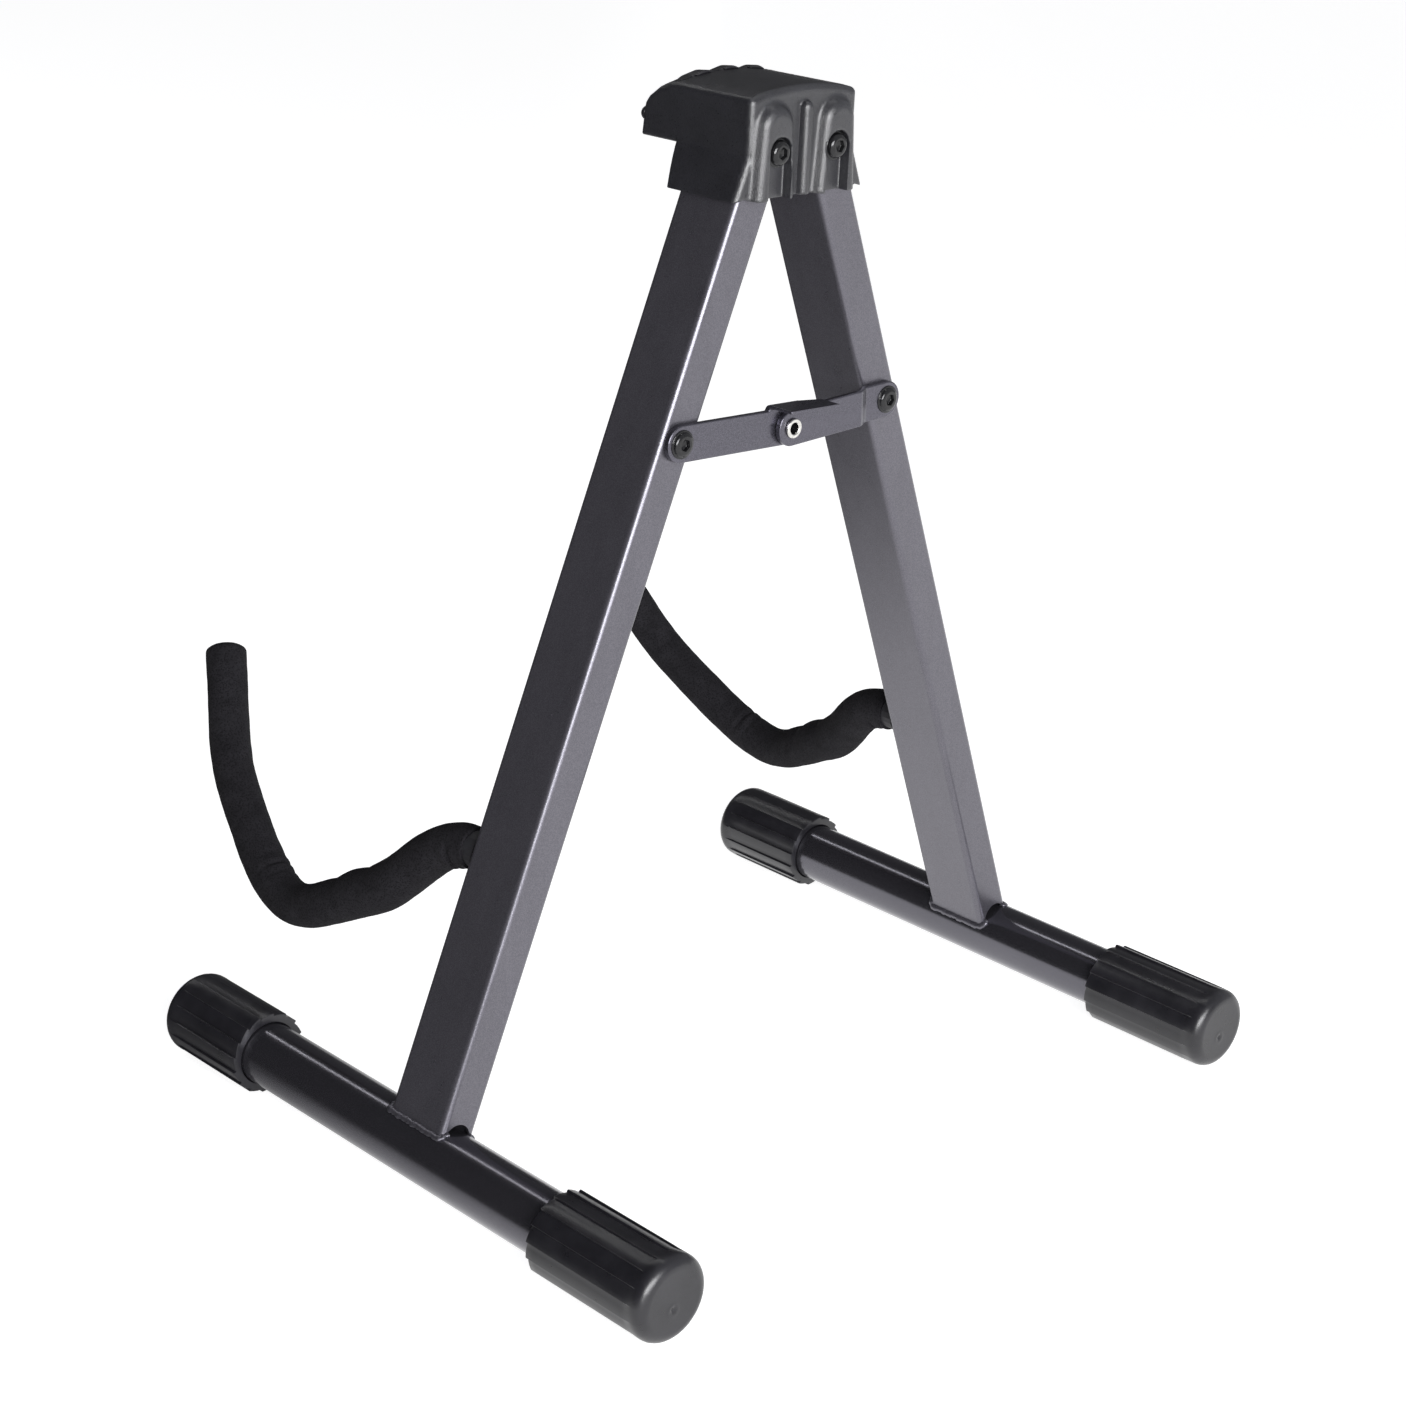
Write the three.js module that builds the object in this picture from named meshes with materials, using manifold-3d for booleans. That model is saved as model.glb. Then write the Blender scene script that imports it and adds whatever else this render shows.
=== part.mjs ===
// Folding A-frame guitar stand: two rectangular-tube legs hinged in a moulded head, a two-link
// locking brace, round foot tubes with ribbed caps, and two foam-covered arms.
// Millimetres, +Z up, -Y towards the guitar. The origin is on the floor, at the centre of the bounding box.
import * as THREE from "three";
import * as BufferGeometryUtils from "three/addons/utils/BufferGeometryUtils.js";
import Module from "manifold-3d";

const wasm = await Module();
wasm.setup();

// ---- driving dimensions: Y is counted from the plane of the legs ----
const Y_SHIFT = 32.718; // the leg plane lies this far behind the centre of the bounding box
const GAP = 0.3; // gap between touching pieces
const FOOT_X = 158.4; // foot tube axes, half spread
const FOOT_Z = 17.0; // foot tube axes above the floor
const FOOT_R = 12.7; // 1 inch tube
const FOOT_WALL = 1.4;
const FOOT_ENDS = [-144.0, 134.0];
const CAP_R = 17.0;
const CAP_REAR = [77.7, 137.3]; // mouth and closed end
const CAP_FRONT = [-97.9, -147.3];
const CAP_LANDS = 16;
const CAP_LAND_HALF = (7.6 * Math.PI) / 180; // half the angle of one flat land
const CAP_GROOVE = 0.6;
const CAP_SMOOTH = 11.0; // plain length before the closed end
const CAP_ROUND = 4.0;
const PIVOT_X = 15.0; // leg hinges in the head
const PIVOT_Z = 381.6;
const LEG_W = 30.2; // along Y
const LEG_T = 16.9; // across the leg
const LEG_R = 2.5;
const LEG_WALL = 1.5;
const LEG_PAST_PIVOT = 12.5;
const BRACE_S = 281.5; // brace bolts, along the leg from the foot tube axis
const RIVET_Z = 276.9; // centre rivet, a little below the line of the brace bolts, so the brace locks
const LINK_W = 14.2;
const LINK_T = 2.4;
const M6_R = 3.0;
const M6_HOLE_R = 3.3;
const HEAD_SCREW_R = 5.35;
const ARM_S = 112.6; // arm rods, along the leg
const ROD_R = 4.0;
const FOAM_R = 8.45;
const FOAM_BORE_R = 4.65;
const FOAM_START = -21.3;
const COLLAR_R = 7.3;
// arm centreline: distance from the leg plane, height along the leg
const ARM = [
  [-20, 112.6], [-28, 111.8], [-36, 108.3], [-45, 100.6], [-54, 90.6], [-64, 81.9], [-76, 74.6],
  [-88, 67.6], [-98, 62.4], [-108, 59.9], [-118, 61.2], [-128, 65.4], [-139, 72.2], [-150, 80.6],
  [-161, 89.5], [-169, 97.2], [-175.5, 105.6], [-181.5, 115.6], [-187, 125.4], [-192.3, 134.6], [-195.65, 140.45],
];
const FOAM_DOME = 3.4;
const HEAD_X = 27.8; // hinge head, half width
const HEAD_Y = [-21.0, 17.4];
const HEAD_EDGE_Z = 401.4;
const HEAD_CROWN_Z = 404.7;
const HEAD_BOTTOM_Z = 364.6;
const HEAD_FLARE_Z = 379.6;
const HEAD_WALL = 2.0;
const BOSS = { x0: 6.7, x1: 24.6, y: 21.3, top: 399.6 };
const SLOT_HALF = 5.7;
const SLOT_FLOOR_Y = 16.8;
const SEAT_Y = 18.9; // where the pivot screw heads bear
const PAD_X = 24.5;

const LEG_TILT = Math.atan2(FOOT_X - PIVOT_X, PIVOT_Z - FOOT_Z);
const PIVOT_S = Math.hypot(FOOT_X - PIVOT_X, PIVOT_Z - FOOT_Z);
const REAR = LEG_W / 2;
const BRACE_X = FOOT_X - BRACE_S * Math.sin(LEG_TILT);
const BRACE_Z = FOOT_Z + BRACE_S * Math.cos(LEG_TILT);
const LINK_LENGTH = Math.hypot(BRACE_X, BRACE_Z - RIVET_Z);
const LINK_SLOPE = Math.atan2(BRACE_Z - RIVET_Z, BRACE_X);
const LINK_Y = REAR + GAP; // inner face of the links, on the legs' rear faces
const OUTER_Y = LINK_Y + LINK_T + 0.25; // inner face of the left link's middle, which passes over the right link

// ---- geometry helpers ----
function solid(geometry) {
  const g = geometry.clone();
  for (const name of Object.keys(g.attributes)) if (name !== "position") g.deleteAttribute(name);
  const m = BufferGeometryUtils.mergeVertices(g, 1e-4);
  return new wasm.Manifold(
    new wasm.Mesh({
      numProp: 3,
      vertProperties: new Float32Array(m.attributes.position.array),
      triVerts: new Uint32Array(m.index.array),
    }),
  );
}
function geometryOf(manifold) {
  const m = manifold.getMesh();
  const g = new THREE.BufferGeometry();
  g.setAttribute("position", new THREE.BufferAttribute(new Float32Array(m.vertProperties), 3));
  g.setIndex(new THREE.BufferAttribute(new Uint32Array(m.triVerts), 1));
  g.computeVertexNormals();
  return g;
}
const shapeOf = (points) => new THREE.Shape(points.map(([a, b]) => new THREE.Vector2(a, b)));
const box = (x0, x1, y0, y1, z0, z1) =>
  solid(new THREE.BoxGeometry(x1 - x0, y1 - y0, z1 - z0).translate((x0 + x1) / 2, (y0 + y1) / 2, (z0 + z1) / 2));
const rodY = (r, y0, y1, x = 0, z = 0, n = 16) =>
  solid(new THREE.CylinderGeometry(r, r, y1 - y0, n).translate(x, (y0 + y1) / 2, z));
// an outline in X and Z, extruded along Y
const prismY = (points, y0, y1) =>
  solid(new THREE.ExtrudeGeometry(shapeOf(points), { depth: y1 - y0, bevelEnabled: false }).rotateX(Math.PI / 2).translate(0, y1, 0));
// an outline in Y and Z, extruded along X
const TO_X = new THREE.Matrix4().set(0, 0, 1, 0, 1, 0, 0, 0, 0, 1, 0, 0, 0, 0, 0, 1);
const prismX = (points, x0, x1) =>
  solid(new THREE.ExtrudeGeometry(shapeOf(points), { depth: x1 - x0, bevelEnabled: false }).applyMatrix4(TO_X).translate(x0, 0, 0));
// a closed profile of radius and Y, turned about a line along Y, taken round so that its faces point outwards
function latheY(profile, n, x = 0, z = 0) {
  let area = 0;
  profile.forEach(([r, y], i) => {
    const [r1, y1] = profile[(i + 1) % profile.length];
    area += r * y1 - r1 * y;
  });
  const points = area > 0 ? profile : profile.slice().reverse();
  return solid(new THREE.LatheGeometry(points.map(([r, y]) => new THREE.Vector2(r, y)), n).translate(x, 0, z));
}
// a round section swept along points in 3-D
function sweep(points, r, sides, steps) {
  const curve = new THREE.CatmullRomCurve3(points.map((p) => new THREE.Vector3(...p)));
  const ring = [];
  for (let i = 0; i < sides; i++) {
    const a = (2 * Math.PI * (i + 0.5)) / sides;
    ring.push(new THREE.Vector2(r * Math.cos(a), r * Math.sin(a)));
  }
  return solid(new THREE.ExtrudeGeometry(new THREE.Shape(ring), { steps, extrudePath: curve, bevelEnabled: false }));
}
function roundedRect(w, h, r, n = 3) {
  const points = [];
  for (const [cx, cy, start] of [[w / 2 - r, h / 2 - r, 0], [-w / 2 + r, h / 2 - r, 90], [-w / 2 + r, -h / 2 + r, 180], [w / 2 - r, -h / 2 + r, 270]])
    for (let i = 0; i <= n; i++) {
      const a = ((start + (90 * i) / n) * Math.PI) / 180;
      points.push([cx + r * Math.cos(a), cy + r * Math.sin(a)]);
    }
  return points;
}
const tubeZ = (points, z0, z1) =>
  solid(new THREE.ExtrudeGeometry(shapeOf(points), { depth: z1 - z0, bevelEnabled: false }).translate(0, 0, z0));

// ---- materials ----
const paint = () => new THREE.MeshStandardMaterial({ color: 0x3c3b42, roughness: 0.42, metalness: 0.6 });
const mould = () => new THREE.MeshStandardMaterial({ color: 0x232326, roughness: 0.55, metalness: 0 });
const rubber = () => new THREE.MeshStandardMaterial({ color: 0x17171a, roughness: 0.5, metalness: 0 });
const foam = () => new THREE.MeshStandardMaterial({ color: 0x1b1a1d, roughness: 0.95, metalness: 0 });
const blackSteel = () => new THREE.MeshStandardMaterial({ color: 0x121214, roughness: 0.25, metalness: 0.9 });
const nickel = () => new THREE.MeshStandardMaterial({ color: 0xc8c8c8, roughness: 0.2, metalness: 1 });

const stand = new THREE.Group();
const frame = new THREE.Group();
frame.position.y = Y_SHIFT;
stand.add(frame);
function piece(parent, name, shape, material) {
  const mesh = new THREE.Mesh(geometryOf(shape), material);
  mesh.name = name;
  parent.add(mesh);
  return mesh;
}

// ---- legs, feet and arms ----
function footCap(mouth, end) {
  const out = Math.sign(end);
  const inner = Math.min(mouth, end - out * CAP_SMOOTH);
  const outer = Math.max(mouth, end - out * CAP_SMOOTH);
  const outline = [];
  for (let i = 0; i < CAP_LANDS; i++) {
    const a = (2 * Math.PI * i) / CAP_LANDS - Math.PI / 2;
    const half = Math.PI / CAP_LANDS;
    const land = CAP_R / Math.cos(CAP_LAND_HALF);
    for (const [da, r] of [[-CAP_LAND_HALF, land], [CAP_LAND_HALF, land], [half - 0.035, CAP_R - CAP_GROOVE], [half + 0.035, CAP_R - CAP_GROOVE]].slice(0, 3))
      outline.push([r * Math.cos(a + da), r * Math.sin(a + da)]);
  }
  let body = prismY(outline, inner, outer);
  const profile = [[0, 0], [CAP_R - CAP_ROUND, 0], [CAP_R - CAP_ROUND * 0.5, -CAP_ROUND * 0.134], [CAP_R - CAP_ROUND * 0.134, -CAP_ROUND * 0.5], [CAP_R, -CAP_ROUND], [CAP_R, -CAP_SMOOTH - 1], [0, -CAP_SMOOTH - 1]];
  body = body.add(latheY(profile.map(([r, y]) => [r, end + out * y]), 32));
  return body.subtract(out > 0 ? rodY(FOOT_R + GAP, mouth - 1, end - 3.2, 0, 0, 24) : rodY(FOOT_R + GAP, end + 3.2, mouth + 1, 0, 0, 24));
}
function screw(y, tip, head = 2.5, r = HEAD_SCREW_R) {
  // button head from y outwards to +Y, shank to tip
  const s = latheY([[0, tip], [M6_R, tip], [M6_R, y], [r, y], [r, y + 0.6], [r * 0.86, y + head * 0.68], [r * 0.6, y + head], [0, y + head]], 16);
  return s.subtract(solid(new THREE.CylinderGeometry(2.25, 2.25, 3.2, 6).translate(0, y + head, 0)));
}
function legTube(side) {
  const top = PIVOT_S + LEG_PAST_PIVOT;
  let leg = tubeZ(roundedRect(LEG_T, LEG_W, LEG_R), 0, top);
  leg = leg.subtract(tubeZ(roundedRect(LEG_T - 2 * LEG_WALL, LEG_W - 2 * LEG_WALL, LEG_R - LEG_WALL), -1, top + 1));
  leg = leg.subtract(rodY(FOOT_R + GAP, -LEG_W, LEG_W, 0, 0, 48)); // coped onto the foot tube
  leg = leg.subtract(rodY(7.0, -LEG_W, LEG_W, 0, 8.4, 20)); // clearance arch in the narrow faces, under the weld
  leg = leg.subtract(rodY(M6_HOLE_R, -LEG_W, LEG_W, 0, PIVOT_S, 16));
  leg = leg.subtract(rodY(4.7, 5, LEG_W, 0, BRACE_S, 16));
  return leg.subtract(rodY(ROD_R + GAP + 0.2, -LEG_W, -5, 0, ARM_S, 16));
}
const armPoints = ARM.map(([y, s]) => [0, y, s]);
const tangent = new THREE.Vector3(0, ARM.at(-1)[0] - ARM.at(-2)[0], ARM.at(-1)[1] - ARM.at(-2)[1]).normalize();
const tip = new THREE.Vector3(0, ...ARM.at(-1));
function armRod() {
  const end = tip.clone().addScaledVector(tangent, -3.5);
  return sweep([[0, 8, ARM_S], [0, -6, ARM_S], ...armPoints.slice(0, -1), end.toArray()], ROD_R, 8, 44);
}
function armFoam() {
  let sleeve = sweep([[0, FOAM_START + 5, ARM_S], ...armPoints], FOAM_R, 12, 38);
  sleeve = sleeve.subtract(box(-20, 20, FOAM_START, 0, ARM_S - 20, ARM_S + 20)); // square end against the collar
  const dome = new THREE.SphereGeometry(FOAM_R * 0.985, 12, 6);
  dome.rotateY(Math.PI / 12).scale(1, FOAM_DOME / (FOAM_R * 0.985), 1);
  dome.applyQuaternion(new THREE.Quaternion().setFromUnitVectors(new THREE.Vector3(0, 1, 0), tangent)).translate(...tip.toArray());
  sleeve = sleeve.add(solid(dome));
  const bore = sweep([[0, -6, ARM_S], ...armPoints.slice(0, -1), tip.clone().addScaledVector(tangent, -2.6).toArray()], FOAM_BORE_R, 8, 44);
  return sleeve.subtract(bore);
}
function threadedInsert() {
  return latheY([[M6_HOLE_R, 5.5], [4.3, 5.5], [4.3, 8.5], [5.6, 10.4], [5.6, 11.6], [4.3, 13.2], [4.3, REAR - 0.1], [M6_HOLE_R, REAR - 0.1], [M6_HOLE_R, 5.5]], 16);
}

for (const [side, word] of [[1, "right"], [-1, "left"]]) {
  const foot = new THREE.Group();
  foot.position.set(side * FOOT_X, 0, FOOT_Z);
  frame.add(foot);
  let tube = rodY(FOOT_R, ...FOOT_ENDS, 0, 0, 32);
  tube = tube.subtract(rodY(FOOT_R - FOOT_WALL, FOOT_ENDS[0] - 1, FOOT_ENDS[1] + 1, 0, 0, 24));
  piece(foot, `foot_tube_${word}`, tube, paint());
  piece(foot, `foot_cap_${word}_rear`, footCap(...CAP_REAR), rubber());
  piece(foot, `foot_cap_${word}_front`, footCap(...CAP_FRONT), rubber());

  const leg = new THREE.Group();
  leg.rotation.y = -side * LEG_TILT;
  foot.add(leg);
  piece(leg, `leg_${word}`, legTube(side), paint());
  piece(leg, `arm_rod_${word}`, armRod(), blackSteel());
  piece(leg, `arm_foam_${word}`, armFoam(), foam());
  piece(leg, `arm_collar_${word}`, rodY(COLLAR_R, FOAM_START + GAP, -REAR - GAP, 0, ARM_S, 20).subtract(rodY(FOAM_BORE_R, -30, -5, 0, ARM_S, 16)), rubber());
  const brace = new THREE.Group();
  brace.position.z = BRACE_S;
  leg.add(brace);
  piece(brace, `brace_insert_${word}`, threadedInsert(), blackSteel());
  if (side > 0) piece(brace, "brace_screw_right", screw(LINK_Y + LINK_T + 0.25, 6), blackSteel());
  else {
    piece(brace, "brace_screw_left", screw(LINK_Y + LINK_T + 0.25, REAR + GAP), blackSteel());
    piece(brace, "brace_screw_left_thread", rodY(M6_R, 6, REAR, 0, 0, 16), blackSteel());
  }
}

// ---- brace links ----
// A link in its own frame: X along it from the centre rivet, Z across, Y outwards.
function linkPlate(x0, x1, y0, round0, round1) {
  const points = [];
  const r = LINK_W / 2;
  const n = 8;
  if (round0) for (let i = 0; i <= n; i++) points.push([x0 - r * Math.sin((Math.PI * i) / n), r * Math.cos((Math.PI * i) / n)]);
  else points.push([x0, r], [x0, -r]);
  if (round1) for (let i = 0; i <= n; i++) points.push([x1 + r * Math.sin((Math.PI * i) / n), -r * Math.cos((Math.PI * i) / n)]);
  else points.push([x1, -r], [x1, r]);
  return prismY(points, y0, y0 + LINK_T);
}
const rivetHole = (y0, y1) => rodY(M6_HOLE_R, y0, y1, 0, 0, 16);

const rightLink = new THREE.Group();
rightLink.position.z = RIVET_Z;
rightLink.rotation.y = -LINK_SLOPE;
frame.add(rightLink);
{
  let link = linkPlate(0, LINK_LENGTH, LINK_Y, true, true);
  // stop tab, folded out from the top edge over the other link
  const y0 = LINK_Y;
  const y1 = LINK_Y + LINK_T;
  const under = 8.4;
  const top = 10.2;
  const fold = [[y0, 3], [y1, 3], [y1, under - 0.6], [y1 + 0.25, under - 0.15], [y1 + 0.8, under], [28.3, under], [28.3, top], [y0 + 1.6, top], [y0 + 0.5, top - 0.5], [y0, top - 1.6]];
  link = link.add(prismX(fold.reverse(), -13.0, 9.2).subtract(box(-14, -5.5, y0 - 1, y1 + 0.01, 0, under - 1.6)));
  link = link.subtract(rivetHole(0, 30)).subtract(rodY(M6_HOLE_R, 0, 30, LINK_LENGTH, 0, 16));
  piece(rightLink, "brace_link_right", link, paint());
  // hollow rivet through both links
  const f = OUTER_Y + LINK_T + 0.25;
  const rivet = latheY([[2.2, LINK_Y - 1.1], [3.7, LINK_Y - 1.1], [3.7, LINK_Y - 0.3], [2.95, LINK_Y - 0.3], [2.95, f], [3.7, f], [3.7, f + 0.45], [3.2, f + 0.8], [2.5, f + 0.8], [2.2, f + 0.5], [2.2, LINK_Y - 1.1]], 20);
  piece(rightLink, "centre_rivet", rivet, nickel());
}
const leftLink = new THREE.Group();
leftLink.position.z = RIVET_Z;
leftLink.rotation.y = Math.PI + LINK_SLOPE;
frame.add(leftLink);
{
  // X runs towards the left leg and Z is turned over, so Y stays outwards through a half turn about Y
  const joggle0 = 38.0;
  const joggle1 = 43.5;
  const step = OUTER_Y - LINK_Y;
  let link = linkPlate(0, joggle0, OUTER_Y, true, false);
  link = link.add(linkPlate(joggle1, LINK_LENGTH, LINK_Y, false, true));
  const w = LINK_W / 2;
  const slope = new THREE.Shape([[joggle0 - 0.01, OUTER_Y], [joggle1 + 0.01, LINK_Y], [joggle1 + 0.01, LINK_Y + LINK_T], [joggle0 - 0.01, OUTER_Y + LINK_T]].map(([a, b]) => new THREE.Vector2(a, b)));
  link = link.add(solid(new THREE.ExtrudeGeometry(slope, { depth: LINK_W, bevelEnabled: false }).translate(0, 0, -w)));
  link = link.subtract(rivetHole(0, 30)).subtract(rodY(M6_HOLE_R, 0, 30, LINK_LENGTH, 0, 16));
  piece(leftLink, "brace_link_left", link, paint());
}

// ---- hinge head ----
function crown(x) {
  return HEAD_CROWN_Z - (HEAD_CROWN_Z - HEAD_EDGE_Z) * (x / HEAD_X) ** 2;
}
function headOutline(inset, bottom) {
  const run = Math.tan(LEG_TILT);
  const wide = HEAD_X - inset + (HEAD_FLARE_Z - bottom) * run;
  const top = [];
  for (const x of [26.0, 19, 12, 5, 0, -5, -12, -19, -26.0]) top.push([(x * (HEAD_X - inset)) / HEAD_X, crown(x) - inset * 1.15]);
  return [[-wide, bottom], [wide, bottom], [HEAD_X - inset, HEAD_FLARE_Z], [HEAD_X - inset, HEAD_EDGE_Z - 2.2 - inset], [HEAD_X - inset - 0.6, HEAD_EDGE_Z - 0.7 - inset], ...top, [-HEAD_X + inset + 0.6, HEAD_EDGE_Z - 0.7 - inset], [-HEAD_X + inset, HEAD_EDGE_Z - 2.2 - inset], [-HEAD_X + inset, HEAD_FLARE_Z]];
}
const NOSE = [[-40.0, 380.2], [-39.5, 384.8], [-40.0, 388.6], [-38.7, 391.9], [-36.7, 394.5], [-31.6, 398.4], [-26.0, 400.7], [-21.5, 401.4]];
const INNER_Y = [HEAD_Y[0] + 2.4, HEAD_Y[1] - HEAD_WALL];
{
  let head = prismY(headOutline(0, HEAD_BOTTOM_Z), HEAD_Y[0], HEAD_Y[1]);
  head = head.add(prismX([[-12, 380.2], [-12, 401.4], ...NOSE.slice().reverse()], -HEAD_X, HEAD_X));
  for (const side of [1, -1]) {
    // arched boss over each pivot screw
    const [a, b] = side > 0 ? [BOSS.x0, BOSS.x1] : [-BOSS.x1, -BOSS.x0];
    const cx = (a + b) / 2;
    const r = (b - a) / 2;
    const arch = [[a, HEAD_BOTTOM_Z], [b, HEAD_BOTTOM_Z]];
    for (let i = 0; i <= 8; i++) arch.push([cx + r * Math.cos((Math.PI * i) / 8), BOSS.top - r + r * Math.sin((Math.PI * i) / 8)]);
    head = head.add(prismY(arch, HEAD_Y[1] - 1, BOSS.y));
  }
  const rib = [[-2.2, HEAD_BOTTOM_Z], [2.2, HEAD_BOTTOM_Z], [2.2, 397.4], [1.1, 399.0], [-1.1, 399.0], [-2.2, 397.4]];
  head = head.add(prismY(rib, HEAD_Y[1] - 1, 20.2));
  // inside of the shell, open at the bottom
  head = head.subtract(prismY(headOutline(2.3, HEAD_BOTTOM_Z - 4), ...INNER_Y));
  head = head.subtract(prismX([[HEAD_Y[0], 378], [HEAD_Y[0], 399.0], [-25.2, 398.3], [-30.4, 396.0], [-35.0, 392.3], [-37.2, 388.2], [-37.3, 378]], -HEAD_X + 2.3, HEAD_X - 2.3));
  for (const side of [1, -1]) {
    const x = side * PIVOT_X;
    head = head.add(rodY(8, INNER_Y[0] - 0.5, -REAR - GAP, x, PIVOT_Z, 20)); // inner boss against the leg
    head = head.subtract(box(x - SLOT_HALF, x + SLOT_HALF, SLOT_FLOOR_Y, BOSS.y + 1, HEAD_BOTTOM_Z - 1, PIVOT_Z)); // slot open at the bottom
    head = head.subtract(rodY(SLOT_HALF, SLOT_FLOOR_Y, BOSS.y + 1, x, PIVOT_Z, 24));
    head = head.add(rodY(4.8, SLOT_FLOOR_Y - 0.5, SEAT_Y, x, PIVOT_Z, 20)); // seat under the screw head
    head = head.subtract(rodY(M6_HOLE_R, -30, 30, x, PIVOT_Z, 16));
  }
  piece(frame, "hinge_head", head, mould());

  // soft bumper over the nose, with three ribs
  const skin = (offset, list) =>
    list.map(([y, z], i) => {
      const p = list[Math.max(i - 1, 0)];
      const q = list[Math.min(i + 1, list.length - 1)];
      const l = Math.hypot(q[0] - p[0], q[1] - p[1]);
      return [y - ((q[1] - p[1]) / l) * offset, z + ((q[0] - p[0]) / l) * offset];
    });
  const run = NOSE.slice(1);
  const pad = prismX([...skin(0.3, run), ...skin(2.1, run).reverse()], -PAD_X, PAD_X);
  piece(frame, "neck_bumper", pad, rubber());

  for (const [side, word] of [[1, "right"], [-1, "left"]]) {
    const pivot = new THREE.Group();
    pivot.position.set(side * PIVOT_X, 0, PIVOT_Z);
    frame.add(pivot);
    piece(pivot, `pivot_screw_${word}`, screw(SEAT_Y + 0.25, -28.6, 2.8), blackSteel());
    piece(pivot, `pivot_washer_${word}`, rodY(6.0, -22.4, -21.3, 0, 0, 20).subtract(rodY(M6_HOLE_R, -30, -10, 0, 0, 16)), blackSteel());
    piece(pivot, `pivot_nut_${word}`, rodY(5.75, -28.0, -22.7, 0, 0, 6).subtract(rodY(M6_HOLE_R, -30, -10, 0, 0, 16)), blackSteel());
  }
}

export default stand;
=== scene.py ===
import math

import bmesh
import bpy
import numpy as np
from mathutils import Matrix, Vector


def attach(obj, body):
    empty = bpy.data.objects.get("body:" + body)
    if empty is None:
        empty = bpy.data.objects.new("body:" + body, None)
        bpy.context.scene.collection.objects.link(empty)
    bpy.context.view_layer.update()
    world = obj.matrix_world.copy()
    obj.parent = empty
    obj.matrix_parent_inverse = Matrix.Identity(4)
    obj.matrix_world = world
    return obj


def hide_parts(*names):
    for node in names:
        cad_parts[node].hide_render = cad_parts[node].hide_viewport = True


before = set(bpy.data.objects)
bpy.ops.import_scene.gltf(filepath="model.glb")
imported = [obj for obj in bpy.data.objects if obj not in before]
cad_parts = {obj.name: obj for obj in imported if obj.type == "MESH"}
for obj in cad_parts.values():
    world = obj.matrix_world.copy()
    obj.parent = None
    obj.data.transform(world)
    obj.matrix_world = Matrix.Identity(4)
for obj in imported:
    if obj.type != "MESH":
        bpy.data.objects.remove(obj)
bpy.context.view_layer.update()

# ------------------------------------------------------------------ dimensions, in millimetres, Y from the leg plane
YS = 32.718
FOOT_X, FOOT_Z, FOOT_R = 158.4, 17.0, 12.7
PIVOT_X, PIVOT_Z = 15.0, 381.6
LEG_W, LEG_T, LEG_R = 30.2, 16.9, 2.6
REAR = LEG_W / 2
BRACE_S, RIVET_Z = 281.5, 276.9
ARM_S = 112.6
TILT = math.atan2(FOOT_X - PIVOT_X, PIVOT_Z - FOOT_Z)
PIVOT_S = math.hypot(FOOT_X - PIVOT_X, PIVOT_Z - FOOT_Z)
BRACE_X = FOOT_X - BRACE_S * math.sin(TILT)
BRACE_Z = FOOT_Z + BRACE_S * math.cos(TILT)
LINK_LEN = math.hypot(BRACE_X, BRACE_Z - RIVET_Z)
LINK_SLOPE = math.atan2(BRACE_Z - RIVET_Z, BRACE_X)
LINK_Y, LINK_T, LINK_W = REAR + 0.3, 2.4, 14.2
OUTER_Y = LINK_Y + LINK_T + 0.25
ARM = [(-20, 112.6), (-28, 111.8), (-36, 108.3), (-45, 100.6), (-54, 90.6), (-64, 81.9), (-76, 74.6),
       (-88, 67.6), (-98, 62.4), (-108, 59.9), (-118, 61.2), (-128, 65.4), (-139, 72.2), (-150, 80.6),
       (-161, 89.5), (-169, 97.2), (-175.5, 105.6), (-181.5, 115.6), (-187, 125.4), (-192.3, 134.6), (-195.65, 140.45)]


def at(x, y, z):
    return Matrix.Translation((x, y + YS, z))


def leg_matrix(side):
    return at(side * FOOT_X, 0, FOOT_Z) @ Matrix.Rotation(-side * TILT, 4, "Y")


# ------------------------------------------------------------------ materials
def new_material(name):
    m = bpy.data.materials.new(name)
    m.use_nodes = True
    nt = m.node_tree
    nt.nodes.clear()
    out = nt.nodes.new("ShaderNodeOutputMaterial")
    b = nt.nodes.new("ShaderNodeBsdfPrincipled")
    nt.links.new(b.outputs["BSDF"], out.inputs["Surface"])
    co = nt.nodes.new("ShaderNodeTexCoord").outputs["Object"]
    return m, nt, b, co


def mapped(nt, co, scale):
    m = nt.nodes.new("ShaderNodeMapping")
    m.inputs["Scale"].default_value = scale
    nt.links.new(co, m.inputs["Vector"])
    return m.outputs["Vector"]


def noise(nt, co, scale, detail=2.0, rough=0.5, dist=0.0):
    n = nt.nodes.new("ShaderNodeTexNoise")
    n.inputs["Scale"].default_value = scale
    n.inputs["Detail"].default_value = detail
    n.inputs["Roughness"].default_value = rough
    n.inputs["Distortion"].default_value = dist
    nt.links.new(co, n.inputs["Vector"])
    return n.outputs["Fac"]


def voronoi(nt, co, scale, feature="F1", rand=1.0):
    n = nt.nodes.new("ShaderNodeTexVoronoi")
    n.feature = feature
    n.inputs["Scale"].default_value = scale
    n.inputs["Randomness"].default_value = rand
    nt.links.new(co, n.inputs["Vector"])
    return n.outputs["Distance"]


def ramp(nt, fac, stops):
    r = nt.nodes.new("ShaderNodeValToRGB")
    e = r.color_ramp.elements
    while len(e) < len(stops):
        e.new(0.5)
    for el, (p, c) in zip(e, stops):
        el.position = p
        el.color = (*c, 1) if len(c) == 3 else c
    nt.links.new(fac, r.inputs["Fac"])
    return r.outputs["Color"]


def grey(v):
    return (v, v, v)


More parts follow.
